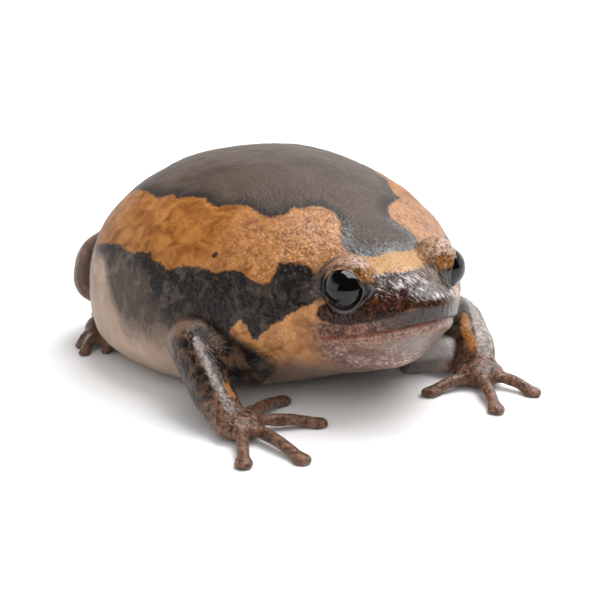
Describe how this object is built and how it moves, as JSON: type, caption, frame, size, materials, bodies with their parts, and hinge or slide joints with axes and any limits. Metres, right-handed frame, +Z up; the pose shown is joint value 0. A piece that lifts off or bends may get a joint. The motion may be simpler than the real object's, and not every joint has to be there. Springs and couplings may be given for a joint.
{
  "type": "asian painted bullfrog",
  "caption": "Life-size round-bodied narrow-mouthed frog sitting on its belly, head raised, with dark back and orange side bands, spread fingers and black eyes.",
  "frame": {"origin": "middle of the animal's outline seen from above, at the floor it sits on", "axes": "the frog faces -Y, its left side is +X, +Z is up"},
  "size_m": [0.0532, 0.0692, 0.0292],
  "materials": {
    "trunk_skin": "wet granular skin, dark brown back with orange side bands and a mottled pale underside",
    "limb_skin": "wet brown skin mottled with black and silver grey",
    "eye": "glossy black eyeball"
  },
  "bodies": {
    "root": {"head": "trunk_skin", "torso": "trunk_skin", "upper_arm_right": "limb_skin", "forearm_right": "limb_skin", "hand_right": "limb_skin", "upper_arm_left": "limb_skin", "forearm_left": "limb_skin", "hand_left": "limb_skin", "thigh_right": "limb_skin", "shank_right": "limb_skin", "foot_right": "limb_skin", "thigh_left": "limb_skin", "shank_left": "limb_skin", "foot_left": "limb_skin", "eye_right": "eye", "eye_left": "eye"}
  },
  "joints": []
}
